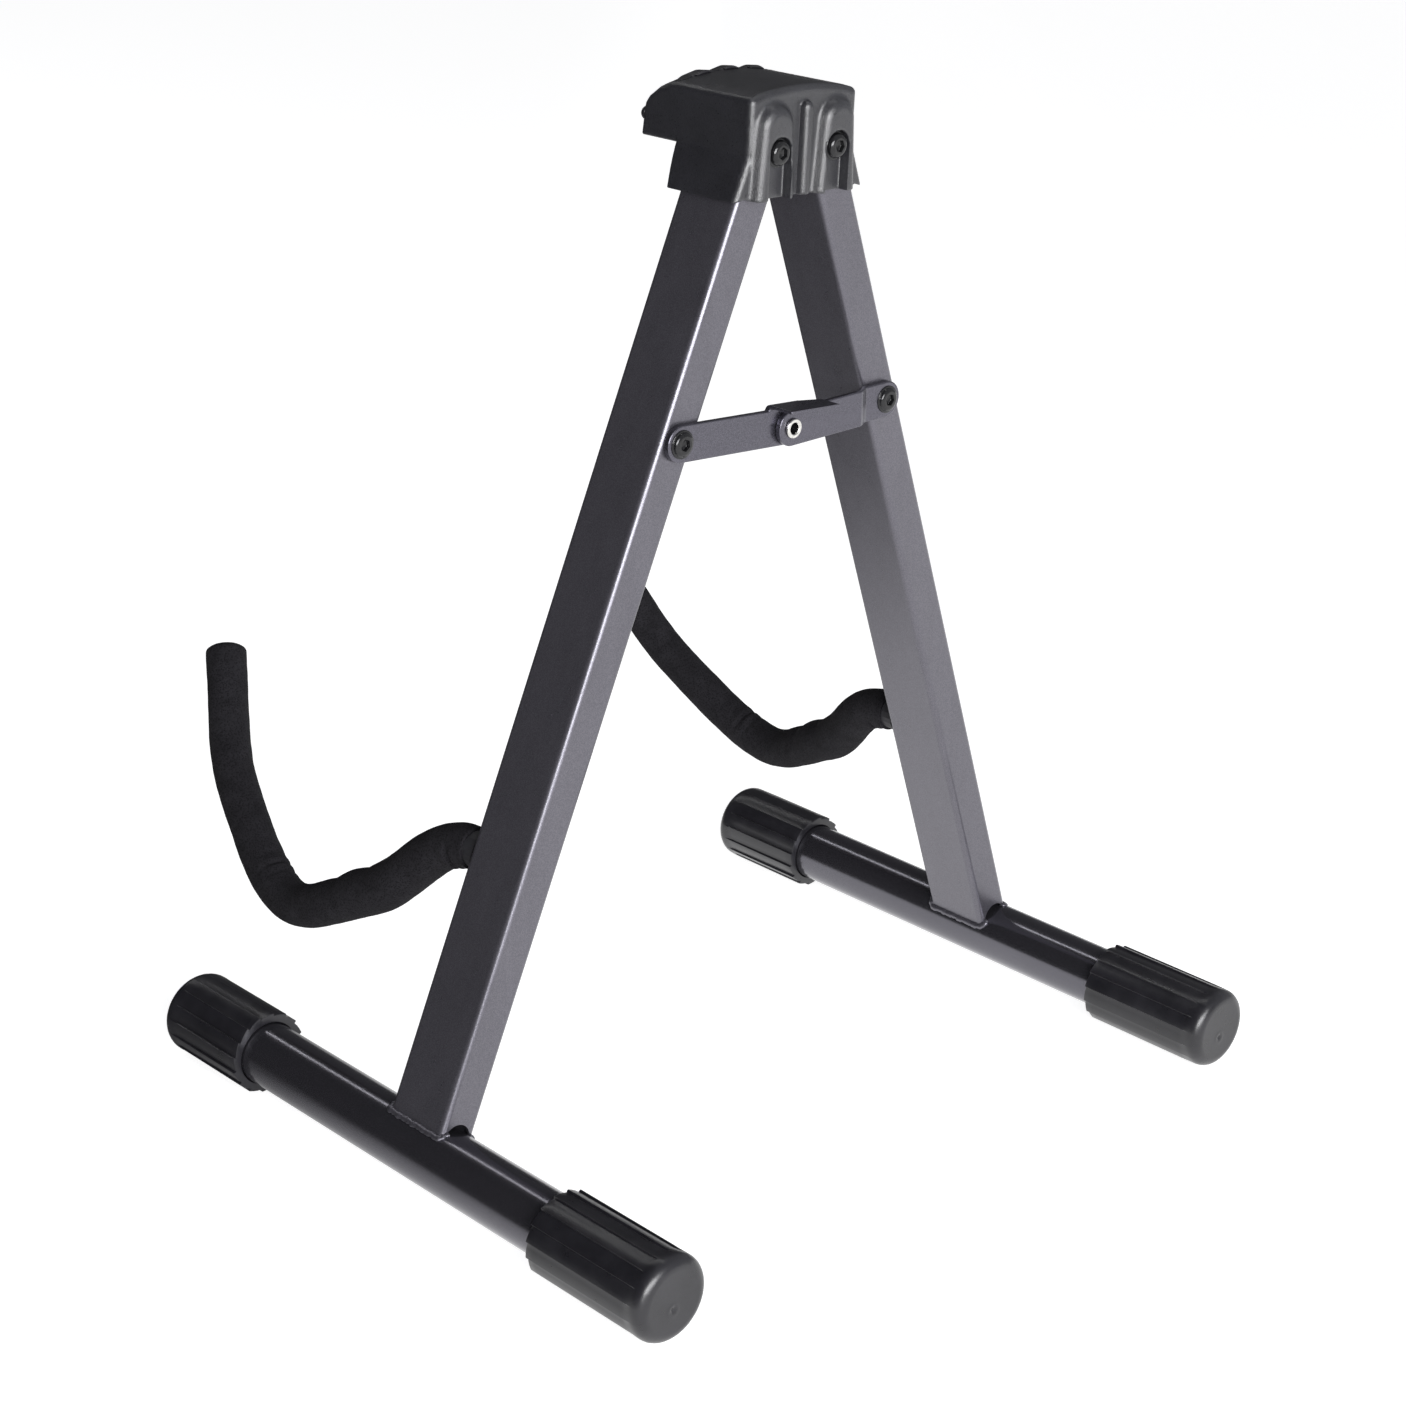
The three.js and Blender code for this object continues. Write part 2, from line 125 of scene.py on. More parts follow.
def maths(nt, op, a, b, c=0.5):
    n = nt.nodes.new("ShaderNodeMath")
    n.operation = op
    for i, v in enumerate((a, b, c)):
        if isinstance(v, (int, float)):
            n.inputs[i].default_value = v
        else:
            nt.links.new(v, n.inputs[i])
    return n.outputs[0]


def mix(nt, fac, a, b, blend="MIX"):
    n = nt.nodes.new("ShaderNodeMix")
    n.data_type = "RGBA"
    n.blend_type = blend
    for sock, v in ((n.inputs[0], fac), (n.inputs[6], a), (n.inputs[7], b)):
        if isinstance(v, (int, float)):
            sock.default_value = v
        elif isinstance(v, tuple):
            sock.default_value = (*v, 1)
        else:
            nt.links.new(v, sock)
    return n.outputs[2]


def bump(nt, b, height, strength, distance):
    n = nt.nodes.new("ShaderNodeBump")
    n.inputs["Strength"].default_value = strength
    n.inputs["Distance"].default_value = distance
    nt.links.new(height, n.inputs["Height"])
    nt.links.new(n.outputs["Normal"], b.inputs["Normal"])


def paint_material(name, base, light, rough, metal, along, peel):
    """Charcoal powder coat: a fine fleck, faint drag lines along the tube, orange peel."""
    m, nt, b, co = new_material(name)
    fleck = ramp(nt, noise(nt, co, 2600, 2, 0.6), [(0.40, base), (0.60, light)])
    drag = noise(nt, mapped(nt, co, along), 1.0, 3, 0.55)
    cloud = noise(nt, co, 22, 3, 0.5)
    tone = ramp(nt, maths(nt, "ADD", maths(nt, "MULTIPLY", drag, 0.5), maths(nt, "MULTIPLY", cloud, 0.5)),
                [(0.35, grey(0.94)), (0.65, grey(1.05))])
    nt.links.new(mix(nt, 1.0, fleck, tone, "MULTIPLY"), b.inputs["Base Color"])
    b.inputs["Metallic"].default_value = metal
    r = ramp(nt, maths(nt, "ADD", maths(nt, "MULTIPLY", noise(nt, co, 900, 2, 0.5), 0.5), maths(nt, "MULTIPLY", drag, 0.5)),
             [(0.3, grey(rough - 0.05)), (0.7, grey(rough + 0.07))])
    nt.links.new(r, b.inputs["Roughness"])
    b.inputs["Coat Weight"].default_value = 0.25
    b.inputs["Coat Roughness"].default_value = 0.22
    h = maths(nt, "ADD", maths(nt, "MULTIPLY", noise(nt, co, 1300, 2, 0.5), 0.6), maths(nt, "MULTIPLY", noise(nt, co, 3600, 1, 0.5), 0.4))
    bump(nt, b, h, peel, 0.00005)
    return m


PAINT_BASE, PAINT_LIGHT = (0.108, 0.104, 0.122), (0.150, 0.145, 0.168)
paint_leg = paint_material("paint_leg", PAINT_BASE, PAINT_LIGHT, 0.31, 0.74, (160, 160, 5), 0.16)
paint_tube = paint_material("paint_tube", (0.112, 0.109, 0.126), (0.130, 0.127, 0.146), 0.18, 0.88, (160, 5, 160), 0.03)
paint_link = paint_material("paint_link", (0.088, 0.085, 0.104), (0.130, 0.125, 0.152), 0.28, 0.86, (8, 160, 160), 0.16)


def mould_material():
    """Black moulded nylon: a fine stipple, slight greying in soft random clouds."""
    m, nt, b, co = new_material("mould")
    stipple = noise(nt, co, 1900, 3, 0.65)
    cloud = noise(nt, co, 60, 3, 0.55)
    c = ramp(nt, stipple, [(0.35, (0.008, 0.008, 0.010)), (0.68, (0.026, 0.026, 0.031))])
    t = ramp(nt, cloud, [(0.3, grey(0.85)), (0.7, grey(1.12))])
    nt.links.new(mix(nt, 1.0, c, t, "MULTIPLY"), b.inputs["Base Color"])
    nt.links.new(ramp(nt, stipple, [(0.3, grey(0.27)), (0.7, grey(0.40))]), b.inputs["Roughness"])
    b.inputs["Specular IOR Level"].default_value = 1.0
    h = maths(nt, "ADD", maths(nt, "MULTIPLY", stipple, 0.65), maths(nt, "MULTIPLY", noise(nt, co, 620, 2, 0.5), 0.35))
    bump(nt, b, h, 0.80, 0.00026)
    return m


def rubber_material(name="cap_rubber", rough=0.30):
    """Semi-gloss black rubber with faint moulding marks."""
    m, nt, b, co = new_material(name)
    n1 = noise(nt, co, 90, 4, 0.6)
    n2 = noise(nt, mapped(nt, co, (500, 30, 500)), 1.0, 2, 0.5)
    c = ramp(nt, n1, [(0.3, (0.0085, 0.0083, 0.0105)), (0.7, (0.0155, 0.0150, 0.0185))])
    nt.links.new(c, b.inputs["Base Color"])
    nt.links.new(ramp(nt, maths(nt, "ADD", maths(nt, "MULTIPLY", n1, 0.6), maths(nt, "MULTIPLY", n2, 0.4)),
                      [(0.3, grey(rough - 0.05)), (0.7, grey(rough + 0.08))]), b.inputs["Roughness"])
    b.inputs["Specular IOR Level"].default_value = 0.6
    h = maths(nt, "ADD", maths(nt, "MULTIPLY", noise(nt, co, 1300, 2, 0.5), 0.5), maths(nt, "MULTIPLY", n2, 0.5))
    bump(nt, b, h, 0.22, 0.00010)
    return m


def foam_material():
    """Closed-cell foam: fine open pores, a dull felt-like sheen."""
    m, nt, b, co = new_material("foam")
    cells = voronoi(nt, co, 1250)
    fine = noise(nt, co, 3300, 2, 0.6)
    mott = noise(nt, co, 130, 4, 0.6)
    c = ramp(nt, cells, [(0.05, (0.0030, 0.0029, 0.0034)), (0.50, (0.0150, 0.0143, 0.0165))])
    t = ramp(nt, mott, [(0.3, grey(0.78)), (0.7, grey(1.25))])
    nt.links.new(mix(nt, 1.0, c, t, "MULTIPLY"), b.inputs["Base Color"])
    nt.links.new(ramp(nt, fine, [(0.3, grey(0.82)), (0.7, grey(0.97))]), b.inputs["Roughness"])
    b.inputs["Specular IOR Level"].default_value = 0.06
    b.inputs["Sheen Weight"].default_value = 0.01
    b.inputs["Sheen Roughness"].default_value = 0.5
    h = maths(nt, "ADD", maths(nt, "MULTIPLY", cells, 0.6), maths(nt, "MULTIPLY", fine, 0.4))
    bump(nt, b, h, 0.9, 0.00050)
    return m


def metal_material(name, dark, light, rough, metal=1.0):
    m, nt, b, co = new_material(name)
    n1 = noise(nt, co, 700, 3, 0.6)
    n2 = noise(nt, mapped(nt, co, (2500, 300, 2500)), 1.0, 2, 0.5)
    nt.links.new(ramp(nt, n1, [(0.3, dark), (0.7, light)]), b.inputs["Base Color"])
    b.inputs["Metallic"].default_value = metal
    nt.links.new(ramp(nt, n2, [(0.3, grey(rough - 0.05)), (0.7, grey(rough + 0.08))]), b.inputs["Roughness"])
    bump(nt, b, n2, 0.2, 0.00004)
    return m


mould = mould_material()
rubber = rubber_material()
foam = foam_material()
black_oxide = metal_material("black_oxide", (0.006, 0.006, 0.007), (0.014, 0.014, 0.015), 0.15, 0.25)
black_oxide.node_tree.nodes["Principled BSDF"].inputs["Coat Weight"].default_value = 0.15
black_oxide.node_tree.nodes["Principled BSDF"].inputs["Coat Roughness"].default_value = 0.10
nickel = metal_material("nickel", (0.62, 0.61, 0.58), (0.86, 0.85, 0.82), 0.17)
pad_rubber = rubber_material("pad_rubber", 0.42)
collar_rubber = rubber_material("collar_rubber", 0.62)


# ------------------------------------------------------------------ mesh helpers
def make(name, verts, faces, material, body, matrix=None, replaces=(), angle=38.0, weighted=False):
    v = np.asarray(verts, float)
    if matrix is None:
        matrix = at(0, 0, 0)
    m = np.array(matrix)
    v = (v @ m[:3, :3].T + m[:3, 3]) * 0.001
    me = bpy.data.meshes.new(name)
    me.from_pydata(v.tolist(), [], [list(map(int, f)) for f in faces])
    me.validate()
    me.update()
    return finish_object(name, me, material, body, replaces, angle, weighted)


def finish_object(name, me, material, body, replaces=(), angle=38.0, weighted=False):
    me.shade_smooth()
    me.set_sharp_from_angle(angle=math.radians(angle))
    me.materials.clear()
    me.materials.append(material)
    o = bpy.data.objects.new(name, me)
    bpy.context.scene.collection.objects.link(o)
    if weighted:
        w = o.modifiers.new("weighted", "WEIGHTED_NORMAL")
        w.keep_sharp = True
        w.weight = 80
    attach(o, body)
    if replaces:
        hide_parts(*replaces)
    return o


def loft(rings, closed_u=True, cap0=True, cap1=True, loop=False):
    """Quads between rings of the same number of points; the ends are closed by a face, or by a fan where a ring is a single point."""
    verts, faces, index = [], [], []
    for r in rings:
        index.append(list(range(len(verts), len(verts) + len(r))))
        verts.extend(r)
    pairs = list(zip(index, index[1:]))
    if loop:
        pairs.append((index[-1], index[0]))
    for a, b in pairs:
        n = max(len(a), len(b))
        for i in range(n):
            j = (i + 1) % n
            if len(a) == 1:
                faces.append((a[0], b[j], b[i]))
            elif len(b) == 1:
                faces.append((a[i], a[j], b[0]))
            else:
                faces.append((a[i], a[j], b[j], b[i]))
    if not loop:
        if cap0 and len(index[0]) > 1:
            faces.append(tuple(reversed(index[0])))
        if cap1 and len(index[-1]) > 1:
            faces.append(tuple(index[-1]))
    return verts, faces


def outward(verts, faces):
    """Turns all faces round if the closed surface is inside out."""
    v = np.asarray(verts, float)
    vol = 0.0
    for f in faces:
        for i in range(1, len(f) - 1):
            vol += np.dot(v[f[0]], np.cross(v[f[i]], v[f[i + 1]]))
    return [tuple(reversed(f)) for f in faces] if vol < 0 else faces


def lathe_y(profile, n=64, x=0.0, z=0.0, closed=False, phase=0.0):
    rings = []
    for r, y in profile:
        if r < 1e-6:
            rings.append([(x, y, z)])
        else:
            rings.append([(x + r * math.cos(2 * math.pi * i / n + phase), y, z + r * math.sin(2 * math.pi * i / n + phase)) for i in range(n)])
    v, f = loft(rings, cap0=False, cap1=False, loop=closed)
    return v, outward(v, f)


def arc(cx, cy, r, a0, a1, n):
    return [(cx + r * math.cos(math.radians(a0 + (a1 - a0) * i / n)), cy + r * math.sin(math.radians(a0 + (a1 - a0) * i / n))) for i in range(n + 1)]


def applied(o):
    """The mesh of o with its modifiers applied, and o removed."""
    dg = bpy.context.evaluated_depsgraph_get()
    me = bpy.data.meshes.new_from_object(o.evaluated_get(dg), depsgraph=dg)
    old = o.data
    bpy.data.objects.remove(o)
    bpy.data.meshes.remove(old)
    return me


def raw_object(name, verts, faces):
    me = bpy.data.meshes.new(name)
    me.from_pydata([tuple(v) for v in verts], [], faces)
    me.update()
    o = bpy.data.objects.new(name, me)
    bpy.context.scene.collection.objects.link(o)
    return o


def cut(base, cutters):
    for c in cutters:
        m = base.modifiers.new("cut", "BOOLEAN")
        m.operation = "DIFFERENCE"
        m.solver = "EXACT"
        m.object = c
    me = applied(base)
    for c in cutters:
        d = c.data
        bpy.data.objects.remove(c)
        bpy.data.meshes.remove(d)
    return me


# ------------------------------------------------------------------ solids from signed distances
def seg_poly(px, py, poly):
    """Signed distance to a closed polygon."""
    d = np.full(np.broadcast(px, py).shape, 1e9)
    s = np.ones_like(d)
    n = len(poly)
    for i in range(n):
        ax, ay = poly[i]
        bx, by = poly[i - 1]
        ex, ey = bx - ax, by - ay
        if abs(ex) + abs(ey) < 1e-9:
            continue
        wx, wy = px - ax, py - ay
        t = np.clip((wx * ex + wy * ey) / (ex * ex + ey * ey), 0, 1)
        qx, qy = wx - ex * t, wy - ey * t
        d = np.minimum(d, qx * qx + qy * qy)
        c1, c2, c3 = py >= ay, py < by, ex * wy > ey * wx
        flip = (c1 & c2 & c3) | (~c1 & ~c2 & ~c3)
        s = np.where(flip, -s, s)
    return s * np.sqrt(d)


def union(a, b, r=0.0):
    if r <= 0:
        return np.minimum(a, b)
    return np.maximum(r, np.minimum(a, b)) - np.hypot(np.maximum(r - a, 0), np.maximum(r - b, 0))


def inter(a, b, r=0.0):
    if r <= 0:
        return np.maximum(a, b)
    return np.minimum(-r, np.maximum(a, b)) + np.hypot(np.maximum(r + a, 0), np.maximum(r + b, 0))


def minus(a, b, r=0.0):
    return inter(a, -b, r)


def surface(f, lo, hi, h, project=3):
    """A closed quad mesh of f = 0, by naive surface nets, with its points pulled onto the surface."""
    ax = [np.arange(lo[i], hi[i] + h, h) for i in range(3)]
    X, Y, Z = np.meshgrid(*ax, indexing="ij", sparse=True)
    F = f(X, Y, Z)
    F = np.broadcast_to(F, tuple(len(a) for a in ax)).copy()
    S = F < 0
    cells = tuple(n - 1 for n in F.shape)
    total = np.zeros(cells + (3,))
    count = np.zeros(cells)
    for axis in range(3):
        i0 = [slice(None)] * 3
        i1 = [slice(None)] * 3
        i0[axis] = slice(0, -1)
        i1[axis] = slice(1, None)
        a, b = F[tuple(i0)], F[tuple(i1)]
        cross = S[tuple(i0)] != S[tuple(i1)]
        t = np.where(cross, a / np.where(cross, a - b, 1), 0)
        others = [k for k in range(3) if k != axis]
        for du in (0, 1):
            for dv in (0, 1):
                sl = [slice(None)] * 3
                sl[others[0]] = slice(du, du + cells[others[0]])
                sl[others[1]] = slice(dv, dv + cells[others[1]])
                c = cross[tuple(sl)]
                count += c
                total[..., axis] += np.where(c, t[tuple(sl)], 0)
                total[..., others[0]] += np.where(c, du, 0)
                total[..., others[1]] += np.where(c, dv, 0)
    used = count > 0
    number = np.full(cells, -1, dtype=np.int64)
    number[used] = np.arange(used.sum())
    idx = np.argwhere(used)
    v = (idx + total[used] / count[used][:, None]) * h + np.array(lo)
    faces = []
    for axis in range(3):
        u, w = (axis + 1) % 3, (axis + 2) % 3
        i0 = [slice(None)] * 3
        i1 = [slice(None)] * 3
        i0[axis] = slice(0, -1)
        i1[axis] = slice(1, None)
        cross = S[tuple(i0)] != S[tuple(i1)]
        where = np.argwhere(cross)
        ok = (where[:, u] > 0) & (where[:, w] > 0) & (where[:, u] < cells[u]) & (where[:, w] < cells[w])
        where = where[ok]
        q = []
        for du, dw in ((1, 1), (0, 1), (0, 0), (1, 0)):
            c = where.copy()
            c[:, u] -= du
            c[:, w] -= dw
            q.append(number[c[:, 0], c[:, 1], c[:, 2]])
        q = np.stack(q, 1)
        flip = ~S[where[:, 0], where[:, 1], where[:, 2]]
        q[flip] = q[flip][:, ::-1]
        faces.append(q)
    faces = np.concatenate(faces)
    e = h * 0.05
    for _ in range(project):
        x, y, z = v.T
        d = f(x, y, z)
        g = np.stack([f(x + e, y, z) - f(x - e, y, z), f(x, y + e, z) - f(x, y - e, z), f(x, y, z + e) - f(x, y, z - e)], 1) / (2 * e)
        g2 = np.maximum((g * g).sum(1), 0.25)
        v = v - np.clip(d, -h, h)[:, None] * g / g2[:, None] * 0.8
    return v, faces


def capsule(x, y, z, a, b, r):
    ab = np.subtract(b, a)
    t = np.clip(((x - a[0]) * ab[0] + (y - a[1]) * ab[1] + (z - a[2]) * ab[2]) / float(ab @ ab), 0, 1)
    return np.sqrt((x - a[0] - ab[0] * t) ** 2 + (y - a[1] - ab[1] * t) ** 2 + (z - a[2] - ab[2] * t) ** 2) - r


# ------------------------------------------------------------------ hinge head
HX, HBOT, HFLARE = 27.8, 364.6, 379.6
NOSE = [(-40.1, 380.0), (-39.6, 384.6), (-39.2, 388.2), (-38.6, 392.2), (-36.8, 394.6), (-31.5, 398.5), (-26.0, 400.9), (-21.7, 401.4)]


def crown(x):
    return 3.3 * (1 - np.clip(x / HX, -1, 1) ** 2)


def outline(x, z):
    r = 2.4
    run = math.tan(TILT)
    w = HX - r
    pts = [(-(w + (HFLARE - 350) * run), 350), (w + (HFLARE - 350) * run, 350), (w, HFLARE + 0.6)]
    for i in range(13):
        t = 1 - 2 * i / 12
        pts.append((w * t, 401.4 + float(crown(np.array(w * t))) - r - (0.25 if i in (0, 12) else 0)))
    pts.append((-w, HFLARE + 0.6))
    return seg_poly(x, z, pts) - r


def nose_distance(x, y, z, bottom):
    lift = crown(x) * np.clip((z - 382) / 12, 0, 1)
    poly = [(p[0], p[1]) for p in NOSE] + [(-10, 401.4), (-10, bottom), (-40.1, bottom)]
    return seg_poly(y, z - lift, poly)


def head(x, y, z):
    o2 = outline(x, z)
    d = inter(o2, y - 17.4, 2.7)
    d = inter(d, -21.0 + 2.3 * np.clip((380.0 - z) / 15.0, 0, 1.2) ** 1.5 - y, 1.2)
    nose = inter(nose_distance(x, y, z, 380.0), np.abs(x) - HX, 2.4)
    nose = inter(nose, nose_distance(x, y, z, 380.0) + np.where(np.abs(x) < 24.2, 1.2, 0.0) * np.clip((z - 385.0) / 1.0, 0, 1) * np.clip((-22.3 - y) / 0.8, 0, 1), 0)
    d = union(d, nose)
    for s in (1, -1):
        dx = x - s * 16.1
        zc = 390.2
        below = (np.abs(dx) - 9.4 - np.maximum(zc - z, 0) * 0.07) * 0.9976
        b2 = np.where(z > zc, np.hypot(dx, z - zc) - 9.4, below)
        side = (b2 + 2.7 * np.clip((y - 17.2) / 4.0, 0, 1.2)) * 0.83
        boss = inter(inter(side, y - 21.4, 1.7), 12.0 - y, 0)
        d = union(d, boss, 0.8)
    rib = np.maximum(capsule(x, y, z, (0, 18.0, 355), (0, 18.0, 396.5), 2.5), 14 - y)
    d = union(d, rib, 0.5)
    cavity = inter(inter(o2 + 2.4, y - 15.4, 0.5), -18.6 - y, 0.5)
    d = minus(d, cavity, 0)
    hollow = inter(inter(nose_distance(x, y, z, 370.0) + 2.9, np.abs(x) - HX + 2.4, 0.8), y + 21.0, 0.5)
    d = minus(d, hollow, 0)
    for s in (1, -1):
        px, pz = s * PIVOT_X, PIVOT_Z
        rr = np.hypot(x - px, z - pz)
        d = union(d, np.maximum(rr - 8.0, np.maximum(-19.2 - y, y + 15.4)), 0)
        u2 = np.where(z > pz, rr, np.abs(x - px)) - 5.75
        d = minus(d, np.maximum(u2, 16.8 - y), 0.35)
        d = union(d, np.maximum(rr - 4.8, np.maximum(15.5 - y, y - 18.9)), 0)
        d = np.maximum(d, 3.25 - rr)
    zb = HBOT + 0.9 * np.exp(-(((np.abs(x) - 29.5) / 2.4) ** 2)) * np.clip(y - 10, 0, 1) + 0.5 * np.exp(-((x / 5.0) ** 2)) * np.clip(y - 10, 0, 1)
    d = inter(d, zb - z, 0.3)
    return d


v, f = surface(head, (-36, -43.5, 362.5), (36, 23.5, 407), 0.59)
make("head_shell", v, f, mould, "head", replaces=("hinge_head",), angle=60)


def pad(x, y, z):
    n = nose_distance(x, y, z, 360.0)
    lobes = np.zeros_like(x * 1.0)
    for c in (-13.6, 0.0, 13.6):
        lobes = np.maximum(lobes, np.cos(np.clip((x - c) / 4.6, -1, 1) * math.pi / 2))
    top = 0.15 + 1.15 * lobes
    d = inter(n - top, np.where(y < -22.6, -1.1 - n, -0.02 - n), 0.1)
    d = inter(d, np.abs(x) - 24.1, 0.3)
    d = inter(d, y + 21.2, 0.5)
    d = inter(d, 385.4 - z, 0.5)
    bead = np.maximum(capsule(x, y, z, (-25.0, -38.5, 388.1), (25.0, -38.5, 388.1), 2.8), -(n + 1.1))
    return union(d * 0.9, bead, 0.6)


v, f = surface(pad, (-29.5, -44.5, 383), (29.5, -18, 408.5), 0.47)
make("neck_pad", v, f, pad_rubber, "head", replaces=("neck_bumper",), angle=60)


# ------------------------------------------------------------------ legs
def rounded_rect(w, h, r, n):
    pts = []
    for cx, cy, a in ((w / 2 - r, h / 2 - r, 0), (-w / 2 + r, h / 2 - r, 90), (-w / 2 + r, -h / 2 + r, 180), (w / 2 - r, -h / 2 + r, 270)):
        pts += arc(cx, cy, r, a, a + 90, n)
    return pts


def rod_cutter(name, r, y0, y1, z, n=48):
    v, f = lathe_y([(0, y0), (r, y0), (r, y1), (0, y1)], n, 0, z)
    return raw_object(name, v, f)


def leg_mesh():
    top = PIVOT_S + 12.5
    stations = [0, 40, 112, 200, 281, 340, top]
    outer = [[(x, y, z) for x, y in rounded_rect(LEG_T, LEG_W, LEG_R, 8)] for z in stations]
    v, f = loft(outer)
    base = raw_object("leg_base", v, outward(v, f))
    inner = [[(x, y, z) for x, y in rounded_rect(LEG_T - 3.0, LEG_W - 3.0, 1.2, 4)] for z in (-5, top + 5)]
    v, f = loft(inner)
    cutters = [raw_object("leg_inner", v, outward(v, f)), rod_cutter("cope", 12.9, -20, 20, 0, 96), rod_cutter("arch", 6.4, -20, 20, 9.2),
               rod_cutter("pivot", 3.3, -20, 20, PIVOT_S), rod_cutter("insert", 4.5, 5, 20, BRACE_S), rod_cutter("rodhole", 4.4, -20, -5, ARM_S)]
    return cut(base, cutters)


leg_data = leg_mesh()
for side, word in ((1, "right"), (-1, "left")):
    me = leg_data.copy()
    me.transform(Matrix.Scale(0.001, 4) @ leg_matrix(side))
    finish_object(f"leg_tube_{word}", me, paint_leg, f"{word}_leg", (f"leg_{word}",), 32, True)
bpy.data.meshes.remove(leg_data)


def hash_wave(t, seed):
    return math.sin(t * 1.7 + seed) * 0.5 + math.sin(t * 4.3 + seed * 2.1) * 0.3 + math.sin(t * 9.1 + seed * 3.7) * 0.2


def weld(name, side, word, face, seed):
    """A hand-laid bead where one wide face of the leg meets the foot tube, turned a little round both corners."""
    path = []
    x0 = face * LEG_T / 2
    ends = face * 5.2
    for y in (-1, 1):
        pass
    n = 76
    pts = []
    for i in range(8):
        t = i / 7
        pts.append((ends + (x0 - face * 2.0 - ends) * t, -REAR - 0.25))
    for i in range(1, 6):
        a = math.radians(90 * i / 5)
        pts.append((x0 - face * 2.0 + face * 2.3 * math.sin(a), -REAR + 2.0 - 2.3 * math.cos(a)))
    for i in range(1, 40):
        pts.append((x0 + face * 0.3, -REAR + 2.0 + (LEG_W - 4.0) * i / 40))
    for i in range(0, 6):
        a = math.radians(90 * i / 5)
        pts.append((x0 - face * 2.0 + face * 2.3 * math.cos(a), REAR - 2.0 + 2.3 * math.sin(a)))
    for i in range(1, 8):
        t = i / 7
        pts.append((x0 - face * 2.0 + (ends - x0 + face * 2.0) * t, REAR + 0.25))
    P = [Vector((x, y, math.sqrt(max(12.7 ** 2 - x * x, 0)) + 0.35)) for x, y in pts]
    # even steps
    fine = []
    for a, b in zip(P, P[1:]):
        k = max(1, int((b - a).length / 0.35))
        for j in range(k):
            fine.append(a.lerp(b, j / k))
    fine.append(P[-1])
    rings = []
    s = 0.0
    for i, p in enumerate(fine):
        t = (fine[min(i + 1, len(fine) - 1)] - fine[max(i - 1, 0)]).normalized()
        up = Vector((p.x, 0, p.z)).normalized()
        nrm = (up - t * up.dot(t)).normalized()
        bi = t.cross(nrm)
        if i:
            s += (p - fine[i - 1]).length
        ripple = abs(math.sin(s * math.pi / 2.1 + 0.6 * math.sin(s * 0.9 + seed)))
        r = 0.92 + 0.24 * ripple + 0.20 * hash_wave(s * 0.8, seed)
        end = min(i, len(fine) - 1 - i)
        r *= min(1.0, math.sqrt((end + 0.35) / 4.0)) if end < 4 else 1.0
        off = 0.25 * hash_wave(s * 0.5, seed + 4)
        rings.append([tuple(p + nrm * (0.05 + r * 0.75 * math.sin(a)) + bi * (off + r * 1.35 * math.cos(a))) for a in [2 * math.pi * k / 14 for k in range(14)]])
    v, f = loft(rings)
    return make(name, v, outward(v, f), paint_leg, f"{word}_leg", leg_matrix(side), angle=70)


for side, word in ((1, "right"), (-1, "left")):
    weld(f"weld_outer_{word}", side, word, 1, 1.3 * side)
    weld(f"weld_inner_{word}", side, word, -1, 2.9 * side)


# ------------------------------------------------------------------ foot tubes and caps
for side, word in ((1, "right"), (-1, "left")):
    prof = [(FOOT_R - 1.4, -144.0), (FOOT_R - 0.3, -144.0), (FOOT_R, -143.7), (FOOT_R, -60), (FOOT_R, 0), (FOOT_R, 60), (FOOT_R, 133.7), (FOOT_R - 0.3, 134.0), (FOOT_R - 1.4, 134.0)]
    v, f = lathe_y(prof, 96, side * FOOT_X, FOOT_Z, closed=True)
    make(f"tube_{word}", v, f, paint_tube, f"{word}_leg", replaces=(f"foot_tube_{word}",), angle=30)


